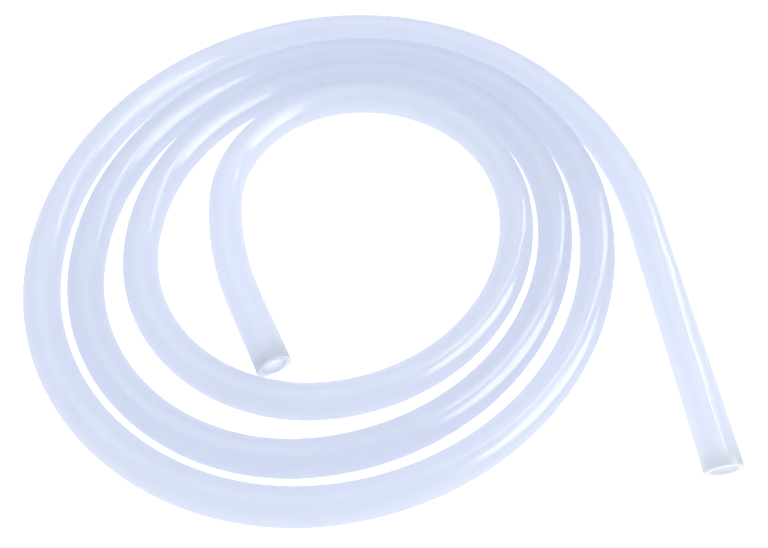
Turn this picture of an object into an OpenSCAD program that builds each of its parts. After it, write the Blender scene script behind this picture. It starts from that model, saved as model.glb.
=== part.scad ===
// A coil of soft lab tubing: one extruded hollow tube, lying flat in a loose spiral of about three and
// a half turns. The outer end leaves the spiral as a straight run, the inner end as a short tail.
//
// The centreline is a chain of arcs that meet in common tangents. Every quarter turn is one arc, and its
// radius follows from the width of the spiral and from the gaps between neighbouring turns.
// The frame is +Z up, with the origin at the centre of the box's underside. The straight run points to -Y.

/* [Tube] */
// Diameter of the bore, which is pushed over a hose barb
bore_d = 6; // [3:0.5:10]
// Thickness of the wall
wall = 1.5; // [1:0.25:3]

/* [Spiral] */
// Width of the outermost turn, from centreline to centreline
coil_w = 151.5; // [140:0.5:240]
// How much wider the arcs are at the back left and front right than at the other corners
oval = 13; // [0:0.5:20]
// Gaps from the first turn to the second, at the back, left, front and right
gaps_1 = [2, 2.2, 2.1, 1.8]; // [0.3:0.1:8]
// Gaps from the second turn to the third, at the back, left, front and right
gaps_2 = [0.5, 4.7, 4.6, 1.3]; // [0.3:0.1:8]
// Gaps from the third turn to the tail, at the back and left
gaps_3 = [0.5, 13]; // [0.3:0.1:16]

/* [Outer end] */
// Length of the straight run
run_l = 69; // [20:1:150]
// Gap that the first bend after the run keeps over the arc inside it
bend_gap = 3.5; // [2:0.5:8]
// How much wider the lead-in arc of that bend is than the rest of it
lead_ease = 12.5; // [0:0.5:30]

/* [Inner end] */
// Length of the straight stretch at the end of the tail
tail_l = 19.5; // [5:0.5:20]
// Radius of the slight bend before that stretch
tail_r = 90; // [60:5:90]

/* [Hidden] */

$fn = 96;
tube_od = bore_d + 2 * wall;

// Directions as exact cosine and sine pairs, so that the arcs meet face to face.
QUARTERS = [[1, 0], [0, 1], [-1, 0], [0, -1]];
LEAD_DIR = [0.8, 0.6];
TAIL_DIR = [-0.936, -0.352];

// Spans between opposite sides of the spiral: each side moves in by the tube and its gap on every turn.
gaps = concat(gaps_1, gaps_2, gaps_3);
LAST = len(gaps) + 2;
function span(i) =
    i == 0 ? coil_w
  : i == 1 ? coil_w - tube_od / 2
  : span(i - 2) - tube_od - gaps[i - 2];

// Corner 0 is the quarter from the back to the left, and the spiral runs on anticlockwise and inwards.
function corner_r(i) =
    i == 0 ? (coil_w + oval) / 2
  : span(i - 1) - corner_r(i - 1);

// Where corner i starts, seen from its centre: corner 0 starts at the back.
function start_dir(i) = QUARTERS[(i + 1) % 4];

function corner_at(i) =
    i == 0 ? [0, 0]
  : corner_at(i - 1) + (corner_r(i - 1) - corner_r(i)) * start_dir(i);

// The bend at the outer end goes over corner 3, one turn further in, and hands over to corner 0.
bend_r = corner_r(3) + tube_od + bend_gap;
bend_at = (corner_r(0) - bend_r) * start_dir(0);
lead_r = bend_r + lead_ease;
lead_at = bend_at + (bend_r - lead_r) * LEAD_DIR;
run_x = lead_at[0] + lead_r;

// The tail's bend takes over from the last corner, at the left.
tail_at = corner_at(LAST) + (corner_r(LAST) - tail_r) * start_dir(LAST + 1);

// The box around the whole coil, seen from above.
left_x = corner_at(1)[0] - corner_r(1) - tube_od / 2;
right_x = run_x + tube_od / 2;
back_y = corner_r(0) + tube_od / 2;
front_y = min(corner_at(1)[1] - corner_r(1) - tube_od / 2, lead_at[1] - run_l);

module section() {
    difference() {
        circle(d = tube_od);
        circle(d = bore_d);
    }
}

// A quarter turn of tube, which starts at the direction "from".
module quarter(at, r, from) {
    translate(at)
        rotate([0, 0, atan2(from[1], from[0])])
            rotate_extrude(angle = 90)
                translate([r, 0])
                    section();
}

// A shorter turn of tube: a ring of it, cut off along two directions less than a quarter apart.
module part_turn(at, r, from, to) {
    reach = 2 * r;
    translate(at)
        intersection() {
            rotate_extrude()
                translate([r, 0])
                    section();
            linear_extrude(height = 2 * tube_od, center = true)
                polygon([[0, 0], reach * from, reach * (from + to), reach * to]);
        }
}

// A straight length of tube, which starts at a point and runs along a direction.
module straight(at, dir, length) {
    translate(at)
        rotate([0, 0, atan2(dir[1], dir[0])])
            rotate([90, 0, 90])
                linear_extrude(height = length)
                    section();
}

module spiral() {
    for (i = [0:LAST])
        quarter(corner_at(i), corner_r(i), start_dir(i));
}

module outer_end() {
    straight([run_x, lead_at[1]], [0, -1], run_l);
    part_turn(lead_at, lead_r, QUARTERS[0], LEAD_DIR);
    part_turn(bend_at, bend_r, LEAD_DIR, QUARTERS[1]);
}

module inner_end() {
    part_turn(tail_at, tail_r, QUARTERS[2], TAIL_DIR);
    straight(tail_at + tail_r * TAIL_DIR, [-TAIL_DIR[1], TAIL_DIR[0]], tail_l);
}

module tubing() {
    color([0.84, 0.88, 0.95])
        translate([-(left_x + right_x) / 2, -(back_y + front_y) / 2, tube_od / 2]) {
            outer_end();
            spiral();
            inner_end();
        }
}

tubing();
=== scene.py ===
import math

import bpy
import numpy as np
from bpy.props import FloatProperty, FloatVectorProperty, IntProperty, PointerProperty
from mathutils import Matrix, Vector


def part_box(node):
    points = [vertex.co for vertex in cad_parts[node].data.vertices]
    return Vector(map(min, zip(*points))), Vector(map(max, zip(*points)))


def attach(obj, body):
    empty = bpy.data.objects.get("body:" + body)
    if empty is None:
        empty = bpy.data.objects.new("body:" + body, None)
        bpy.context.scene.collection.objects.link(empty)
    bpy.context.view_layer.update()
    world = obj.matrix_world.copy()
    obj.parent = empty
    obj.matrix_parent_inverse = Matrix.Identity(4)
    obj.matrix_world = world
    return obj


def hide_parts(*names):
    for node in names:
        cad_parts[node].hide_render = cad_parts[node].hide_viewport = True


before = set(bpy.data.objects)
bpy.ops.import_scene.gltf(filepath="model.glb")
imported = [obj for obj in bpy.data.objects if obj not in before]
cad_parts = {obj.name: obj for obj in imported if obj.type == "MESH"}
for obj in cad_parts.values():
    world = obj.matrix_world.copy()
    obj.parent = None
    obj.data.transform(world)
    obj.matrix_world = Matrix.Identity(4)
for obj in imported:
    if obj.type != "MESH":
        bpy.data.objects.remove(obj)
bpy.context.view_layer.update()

bl_info = {
    "name": "Coiled silicone tubing",
    "version": (1, 0, 0),
    "blender": (4, 5, 0),
    "location": "View3D > Sidebar > Tubing",
    "description": "Builds a coil of milky silicone tubing and the stage that it lies on",
    "category": "Object",
}

ROOT = "root"
NODE = "tubing"


# ---------------------------------------------------------------- settings

def length(name, description, default):
    """A length in metres."""
    return FloatProperty(name=name, description=description, default=default, unit="LENGTH", precision=4)


def lengths(name, description, default):
    """A row of lengths in metres."""
    return FloatVectorProperty(name=name, description=description, default=default, size=len(default),
                               unit="LENGTH", precision=4)


def colour(name, description, default):
    return FloatVectorProperty(name=name, description=description, default=default, size=3,
                               subtype="COLOR", min=0, max=1)


def share(name, description, default):
    return FloatProperty(name=name, description=description, default=default, min=0, max=1,
                         subtype="FACTOR")


class TubeSettings(bpy.types.PropertyGroup):
    """Section of the tube and the finish of its mesh."""
    outer_d: length("Outside diameter", "Diameter over the wall", 0.009)
    bore_d: length("Bore", "Diameter of the bore", 0.006)
    edge_r: length("Cut edge", "Rounding of the cut edges at both ends", 0.00018)
    # How far the painted shade inside each open end reaches into the bore.
    mouth_l: length("Mouth", "How far the look of the open ends reaches into the bore", 0.005)
    ring_step: length("Ring step", "Distance between rings of the mesh along the tube", 0.003)
    sides: IntProperty(name="Sides", description="Faces around the tube", default=64, min=12)


class SpiralSettings(bpy.types.PropertyGroup):
    """Route of the tube's centreline: a chain of tangent arcs that winds inwards."""
    width: length("Width", "Width of the outermost turn, from centreline to centreline", 0.1515)
    oval: length("Oval", "How much wider the arcs are at the back left and front right", 0.013)
    gaps_1: lengths("First gaps", "First turn to second, at the back, left, front and right",
                    (0.002, 0.0022, 0.0021, 0.0018))
    gaps_2: lengths("Second gaps", "Second turn to third, at the back, left, front and right",
                    (0.0005, 0.0047, 0.0046, 0.0013))
    gaps_3: lengths("Third gaps", "Third turn to the tail, at the back and left", (0.0005, 0.013))
    run: length("Run", "Straight run at the outer end", 0.069)
    bend_gap: length("Bend gap", "Gap that the first bend keeps over the arc inside it", 0.0035)
    lead_ease: length("Lead ease", "How much wider the lead-in arc of that bend is", 0.0125)
    tail: length("Tail", "Straight stretch at the inner end", 0.0195)
    tail_r: length("Tail bend", "Radius of the slight bend before the tail", 0.090)
    ease: length("Ease", "Length over which one arc eases into the next", 0.010)


class SiliconeSettings(bpy.types.PropertyGroup):
    """Look of the milky silicone rubber."""
    body: colour("Body", "Colour of the milky wall", (0.903, 0.925, 0.977))
    haze: colour("Haze", "Colour of the cloudier stretches", (0.925, 0.942, 0.983))
    cut: colour("Cut", "Colour of the cut faces", (0.58, 0.62, 0.69))
    # Painted shade: dark grey standing in for the shade that falls into the bore at each open end.
    mouth_shade: colour("Mouth", "Colour of the bore behind its open ends", (0.42, 0.43, 0.48))
    depth: length("Depth", "How far light scatters through the wall", 0.006)
    milky: share("Milky", "Share of the light that comes through from behind", 0.8)
    cut_solid: share("Cut solid", "How much less light comes through the cut faces", 0.6)
    # Where the painted shade lies, less light comes through the wall, so that the shade stays dark.
    mouth_solid: share("Mouth solid", "How much less light comes through the wall behind the open ends", 0.7)
    shine: share("Shine", "Strength of the mirror-like reflection", 0.5)
    rough: share("Roughness", "Roughness of the extruded skin", 0.16)
    rough_change: share("Roughness change", "How far the die lines change the roughness", 0.2)
    cut_rough: share("Cut roughness", "How much rougher the cut faces are", 0.4)
    line_scale: FloatProperty(name="Die lines", description="Die lines for each metre around the tube",
                              default=1000, min=0)
    line_stretch: share("Line stretch", "Pace of the lines along the tube, as a share of that around it", 0.01)
    line_strength: share("Line strength", "Strength of the die lines' relief", 0.5)
    line_depth: length("Line depth", "Height of the die lines", 0.0003)
    cloud_scale: FloatProperty(name="Clouds", description="Cloudy patches for each metre around the tube",
                               default=60, min=0)
    cloud_stretch: share("Cloud stretch", "The same share for the cloudy patches", 0.25)
    ior: FloatProperty(name="Index", description="Index of refraction", default=1.41, min=1, max=2)


class StageSettings(bpy.types.PropertyGroup):
    """Floor, light and camera."""
    floor_colour: colour("Floor", "Colour of the plain floor", (0.5, 0.5, 0.5))
    floor_size: length("Floor size", "Width of the floor", 4.0)
    floor_rough: share("Floor roughness", "Roughness of the floor", 0.9)
    glow: FloatProperty(name="Glow", description="Light that the floor gives off, as a light table does",
                        default=0.95, min=0)
    sky: FloatProperty(name="Sky", description="Strength of the even light all round", default=0.77, min=0)
    key: FloatProperty(name="Key", description="Brightness of the round softbox at the right", default=42,
                       min=0)
    strip: FloatProperty(name="Strip", description="Brightness of the tall strip at the back right",
                         default=32, min=0)
    top: FloatProperty(name="Top", description="Brightness of the large softbox overhead", default=6,
                       min=0)
    aim: lengths("Aim", "Point on the floor that the camera looks at, from the coil's centre",
                 (0.0085, -0.0141))
    distance: length("Distance", "From the camera to the point it looks at", 0.2131)
    elevation: FloatProperty(name="Elevation", description="Angle of view above the floor",
                             default=math.radians(58.2), subtype="ANGLE")
    azimuth: FloatProperty(name="Azimuth", description="Angle of view around the coil from the front",
                           default=math.radians(-5.1), subtype="ANGLE")
    lens: FloatProperty(name="Lens", description="Focal length of the camera", default=37.5,
                        unit="CAMERA")


# ---------------------------------------------------------------- shader expressions

class Socket:
    """A shader value. Arithmetic on it adds Math nodes."""

    def __init__(self, shader, output):
        self.shader = shader
        self.output = output

    def math(self, operation, first, second):
        return self.shader.node("ShaderNodeMath", {"operation": operation}, {0: first, 1: second})[0]

    def __add__(self, other):
        return self.math("ADD", self, other)

    def __radd__(self, other):
        return self.math("ADD", other, self)

    def __sub__(self, other):
        return self.math("SUBTRACT", self, other)

    def __rsub__(self, other):
        return self.math("SUBTRACT", other, self)

    def __mul__(self, other):
        return self.math("MULTIPLY", self, other)

    def __rmul__(self, other):
        return self.math("MULTIPLY", other, self)


class Shader:
    """A material's node tree, written one node at a time."""

    def __init__(self, name):
        self.material = bpy.data.materials.new(name)
        self.material.use_nodes = True
        self.tree = self.material.node_tree
        self.tree.nodes.clear()

    def node(self, kind, settings, sockets):
        """Adds a node and returns its outputs. Sockets are given by name, or by place where names repeat."""
        node = self.tree.nodes.new(kind)
        for name, value in settings.items():
            setattr(node, name, value)
        for name, value in sockets.items():
            if isinstance(value, Socket):
                self.tree.links.new(value.output, node.inputs[name])
            else:
                node.inputs[name].default_value = value
        return [Socket(self, output) for output in node.outputs]

    def attribute(self, name):
        """A value or a vector that the mesh carries at each of its points."""
        outputs = self.node("ShaderNodeAttribute", {"attribute_name": name}, {})
        return {"value": outputs[2], "vector": outputs[1]}

    def stretched(self, vector, factors):
        return self.node("ShaderNodeVectorMath", {"operation": "MULTIPLY"}, {0: vector, 1: factors})[0]

    def noise(self, vector, scale, detail=2.0):
        """Noise from 0 to 1, around 0.5."""
        return self.node("ShaderNodeTexNoise", {}, {"Vector": vector, "Scale": scale, "Detail": detail})[0]

    def blend(self, factor, first, second):
        """Goes from the first colour to the second as the factor goes from 0 to 1."""
        return self.node("ShaderNodeMix", {"data_type": "RGBA"}, {0: factor, 6: first, 7: second})[2]

    def surface(self, shader_output):
        self.node("ShaderNodeOutputMaterial", {}, {"Surface": shader_output})
        return self.material


# ---------------------------------------------------------------- route

LEAD_TURN = math.atan2(0.6, 0.8)
TAIL_TURN = math.atan2(0.352, 0.936)
FINE_STEPS = 8      # steps that the heading is summed in, for each ring of the mesh


def corner_radii(spiral, tube_d):
    """Radius of each quarter turn, from the back left corner inwards."""
    gaps = [*spiral.gaps_1, *spiral.gaps_2, *spiral.gaps_3]
    spans = [spiral.width, spiral.width - tube_d / 2]
    for gap in gaps:
        spans.append(spans[-2] - tube_d - gap)
    radii = [(spiral.width + spiral.oval) / 2]
    for span in spans:
        radii.append(span - radii[-1])
    return radii


def stretches(spiral, tube_d):
    """The route from its outer end: (length, turn) for each stretch, where a turn of 0 is straight."""
    radii = corner_radii(spiral, tube_d)
    bend_r = radii[3] + tube_d + spiral.bend_gap
    lead_r = bend_r + spiral.lead_ease
    arcs = [(lead_r, LEAD_TURN), (bend_r, math.pi / 2 - LEAD_TURN)]
    arcs += [(radius, math.pi / 2) for radius in radii]
    arcs += [(spiral.tail_r, TAIL_TURN)]
    return [(spiral.run, 0.0)] + [(r * turn, turn) for r, turn in arcs] + [(spiral.tail, 0.0)]


def route(spiral, tube_d, step):
    """Points along the centreline, from the outer end to the inner end, and the direction at each."""
    parts = stretches(spiral, tube_d)
    total = sum(part[0] for part in parts)
    count = int(math.ceil(total / step))
    s = np.linspace(0, total, count * FINE_STEPS + 1)
    ends = np.cumsum([0] + [part[0] for part in parts])
    turns = np.cumsum([0] + [part[1] for part in parts])
    heading = math.pi / 2 + np.interp(s, ends, turns)
    half = max(int(spiral.ease / 2 / (s[1] - s[0])), 1)
    window = np.hanning(2 * half + 1)
    window /= window.sum()
    padded = np.pad(heading, half, mode="edge")
    heading = np.convolve(padded, window, mode="valid")
    middle = (heading[1:] + heading[:-1]) / 2
    steps = np.diff(s)
    x = np.concatenate([[0], np.cumsum(np.cos(middle) * steps)])
    y = np.concatenate([[0], np.cumsum(np.sin(middle) * steps)])
    points = np.stack([x, y], 1)[::FINE_STEPS]
    return points, heading[::FINE_STEPS]


# ---------------------------------------------------------------- tubing

def tube_loops(count, tube):
    """The tube's skin as loops (ring, shift along the tube, radius): out along the outside, back inside."""
    outer_r, bore_r, edge_r = tube.outer_d / 2, tube.bore_d / 2, tube.edge_r
    last = count - 1
    corner = [math.radians(angle) for angle in (0, 30, 60, 90)]
    outside = [(-edge_r * (1 - math.sin(a)), outer_r - edge_r * (1 - math.cos(a))) for a in corner]
    inside = [(-edge_r * (1 - math.sin(a)), bore_r + edge_r * (1 - math.cos(a))) for a in corner]
    face = outside + inside[::-1]
    loops = [(i, 0.0, outer_r) for i in range(1, last)]
    loops += [(last, shift, radius) for shift, radius in face]
    loops += [(i, 0.0, bore_r) for i in range(last - 1, 0, -1)]
    loops += [(0, -shift, radius) for shift, radius in face[::-1]]
    return loops


def tube_mesh(name, centres, headings, tube):
    """A hollow tube with softly rounded cut ends, as one closed grid of loops.

    Each point carries its place in the section and along the tube, how much it belongs to a cut end, and
    how much painted shade it takes in the bore just behind one.
    """
    sides = tube.sides
    angles = np.linspace(0, 2 * math.pi, sides, endpoint=False)
    spokes = np.column_stack([np.cos(angles), np.sin(angles)])
    along = np.concatenate([[0], np.cumsum(np.linalg.norm(np.diff(centres, axis=0), axis=1))])
    last = len(centres) - 1
    wall = (tube.outer_d - tube.bore_d) / 2
    points, place, cut, mouth_shade = [], [], [], []
    for ring, shift, radius in tube_loops(len(centres), tube):
        forward = np.array([math.cos(headings[ring]), math.sin(headings[ring]), 0])
        side = np.array([forward[1], -forward[0], 0])
        section = np.outer(spokes[:, 0], side) + np.outer(spokes[:, 1], (0, 0, 1))
        points.append(centres[ring] + forward * shift + section * radius)
        place.append(np.column_stack([spokes * radius, np.full(sides, along[ring] + shift)]))
        cut.append(np.full(sides, float(ring in (0, last) and abs(shift) < tube.edge_r)))
        # Painted shade mask: 1 on the bore at each open end, less across the cut face, 0 on the outside,
        # fading out along the tube over mouth_l.
        behind = min(along[ring], along[last] - along[ring]) / tube.mouth_l
        mouth_shade.append(np.full(sides, (tube.outer_d / 2 - radius) / wall * max(1 - behind, 0)))
    count = len(points)
    starts = np.arange(count) * sides
    near, far = np.arange(sides), (np.arange(sides) + 1) % sides
    faces = [(a + i, b + i, b + j, a + j)
             for a, b in zip(starts, np.roll(starts, -1))
             for i, j in zip(near, far)]
    mesh = bpy.data.meshes.new(name)
    mesh.from_pydata(np.concatenate(points).tolist(), [], faces)
    mesh.polygons.foreach_set("use_smooth", [True] * len(faces))
    for label, kind, field, values in (("place", "FLOAT_VECTOR", "vector", place),
                                       ("cut", "FLOAT", "value", cut),
                                       ("mouth_shade", "FLOAT", "value", mouth_shade)):
        data = mesh.attributes.new(label, kind, "POINT").data
        data.foreach_set(field, np.concatenate(values).ravel().astype(np.float32))
    mesh.update()
    return mesh


def silicone_material(settings):
    """Milky silicone rubber: light comes through it from behind, the die leaves faint lines along it, and
    painted shade darkens the bore just inside each open end.
    """
    shader = Shader("milky_silicone")
    place = shader.attribute("place")["vector"]
    cut = shader.attribute("cut")["value"]
    mouth_shade = shader.attribute("mouth_shade")["value"]
    lines = shader.noise(shader.stretched(place, (1, 1, settings.line_stretch)), settings.line_scale)
    cloud = shader.noise(shader.stretched(place, (1, 1, settings.cloud_stretch)), settings.cloud_scale)
    body = shader.blend(cloud, (*settings.body, 1), (*settings.haze, 1))
    # Painted shade: the bore behind each open end is blended towards the dark grey of the painted shade.
    inner = shader.blend(mouth_shade, body, (*settings.mouth_shade, 1))
    colour = shader.blend(cut, inner, (*settings.cut, 1))
    rough = settings.rough + (lines - 0.5) * settings.rough_change + cut * settings.cut_rough
    normal = shader.node("ShaderNodeBump", {}, {
        "Strength": settings.line_strength, "Distance": settings.line_depth, "Height": lines})[0]
    skin = shader.node("ShaderNodeBsdfPrincipled", {}, {
        "Base Color": colour, "Roughness": rough, "IOR": settings.ior, "Normal": normal,
        "Specular IOR Level": settings.shine, "Subsurface Weight": 1.0, "Subsurface Radius": (1, 1, 1),
        "Subsurface Scale": settings.depth})[0]
    # Less light comes through where the painted shade lies, so that the shade stays dark.
    milky = settings.milky * (1 - cut * settings.cut_solid) * (1 - mouth_shade * settings.mouth_solid)
    through = shader.node("ShaderNodeBsdfTranslucent", {}, {"Color": (*settings.body, 1)})[0]
    return shader.surface(shader.node("ShaderNodeMixShader", {}, {0: milky, 1: skin, 2: through})[0])


class TUBING_OT_tube(bpy.types.Operator):
    """Build the coiled tube"""
    bl_idname = "tubing.tube"
    bl_label = "Tube"

    def execute(self, context):
        scene = context.scene
        tube, spiral = scene.tubing_tube, scene.tubing_spiral
        flat, headings = route(spiral, tube.outer_d, tube.ring_step)
        low, high = (Vector(corner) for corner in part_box(NODE))
        shift = np.array([low.x, low.y]) + tube.outer_d / 2 - flat.min(axis=0)
        centres = np.column_stack([flat + shift, np.full(len(flat), low.z + tube.outer_d / 2)])
        mesh = tube_mesh("coiled_tube", centres, headings, tube)
        mesh.materials.append(silicone_material(scene.tubing_silicone))
        piece = bpy.data.objects.new("coiled_tube", mesh)
        scene.collection.objects.link(piece)
        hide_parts(NODE)
        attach(piece, ROOT)
        return {"FINISHED"}


# ---------------------------------------------------------------- stage

# Shape, size and position of each light panel. Its brightness is the stage setting of the same name.
SOFTBOXES = {
    "key": ("ELLIPSE", (1.45, 1.45), (1.371, -0.432, 1.083)),
    "strip": ("RECTANGLE", (0.15, 0.85), (0.47, 0.27, 0.60)),
    "top": ("RECTANGLE", (1.2, 0.8), (0.0, 0.30, 0.85)),
}


def place(scene, name, data, position, target):
    """Adds an object that points at a target."""
    item = bpy.data.objects.new(name, data)
    item.location = position
    item.rotation_euler = (Vector(target) - Vector(position)).to_track_quat("-Z", "Y").to_euler()
    scene.collection.objects.link(item)
    return item


def softbox(scene, name, shape, brightness, size, position, target):
    """A light panel of an even brightness, which shows only in reflections."""
    light = bpy.data.lights.new(name, "AREA")
    light.shape = shape
    light.size, light.size_y = size
    area = size[0] * size[1] * (math.pi / 4 if shape == "ELLIPSE" else 1)
    light.energy = brightness * area * math.pi
    panel = place(scene, name, light, position, target)
    panel.visible_camera = False
    panel.visible_diffuse = False
    panel.visible_transmission = False
    return panel


class TUBING_OT_stage(bpy.types.Operator):
    """Set up the floor, the light and the camera"""
    bl_idname = "tubing.stage"
    bl_label = "Stage"

    def execute(self, context):
        scene = context.scene
        stage = scene.tubing_stage
        scene.view_settings.view_transform = "Standard"
        world = bpy.data.worlds.new("studio")
        world.use_nodes = True
        background = world.node_tree.nodes["Background"]
        background.inputs["Color"].default_value = (1, 1, 1, 1)
        background.inputs["Strength"].default_value = stage.sky
        scene.world = world

        half = stage.floor_size / 2
        mesh = bpy.data.meshes.new("floor")
        mesh.from_pydata([(-half, -half, 0), (half, -half, 0), (half, half, 0), (-half, half, 0)], [],
                         [(0, 1, 2, 3)])
        shader = Shader("plain_floor")
        mesh.materials.append(shader.surface(shader.node("ShaderNodeBsdfPrincipled", {}, {
            "Base Color": (*stage.floor_colour, 1), "Roughness": stage.floor_rough,
            "Emission Color": (1, 1, 1, 1), "Emission Strength": stage.glow})[0]))
        floor = bpy.data.objects.new("floor", mesh)
        floor.location.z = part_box(NODE)[0][2]
        scene.collection.objects.link(floor)

        target = Vector((*stage.aim, 0))
        flat = math.cos(stage.elevation)
        away = Vector((math.sin(stage.azimuth) * flat, -math.cos(stage.azimuth) * flat,
                       math.sin(stage.elevation)))
        camera = bpy.data.cameras.new("camera")
        camera.lens = stage.lens
        camera.sensor_width = 36
        camera.clip_start = 0.01
        scene.camera = place(scene, "camera", camera, target + away * stage.distance, target)
        for name, (shape, size, position) in SOFTBOXES.items():
            softbox(scene, name, shape, getattr(stage, name), size, position, target)
        return {"FINISHED"}


# ---------------------------------------------------------------- panel

class TUBING_PT_panel(bpy.types.Panel):
    bl_label = "Tubing"
    bl_idname = "TUBING_PT_panel"
    bl_space_type = "VIEW_3D"
    bl_region_type = "UI"
    bl_category = "Tubing"

    def draw(self, context):
        layout = self.layout
        for group in SETTINGS:
            settings = getattr(context.scene, group)
            column = layout.column(align=True)
            for name in settings.__annotations__:
                column.prop(settings, name)
        for operator in OPERATORS:
            layout.operator(operator.bl_idname)


SETTINGS = {
    "tubing_tube": TubeSettings,
    "tubing_spiral": SpiralSettings,
    "tubing_silicone": SiliconeSettings,
    "tubing_stage": StageSettings,
}
OPERATORS = (TUBING_OT_stage, TUBING_OT_tube)


def register():
    for cls in (*SETTINGS.values(), *OPERATORS, TUBING_PT_panel):
        bpy.utils.register_class(cls)
    for name, cls in SETTINGS.items():
        setattr(bpy.types.Scene, name, PointerProperty(type=cls))


def unregister():
    for name in SETTINGS:
        delattr(bpy.types.Scene, name)
    for cls in reversed((*SETTINGS.values(), *OPERATORS, TUBING_PT_panel)):
        bpy.utils.unregister_class(cls)


def main():
    register()
    bpy.ops.tubing.stage()
    bpy.ops.tubing.tube()


if __name__ == "__main__":
    main()
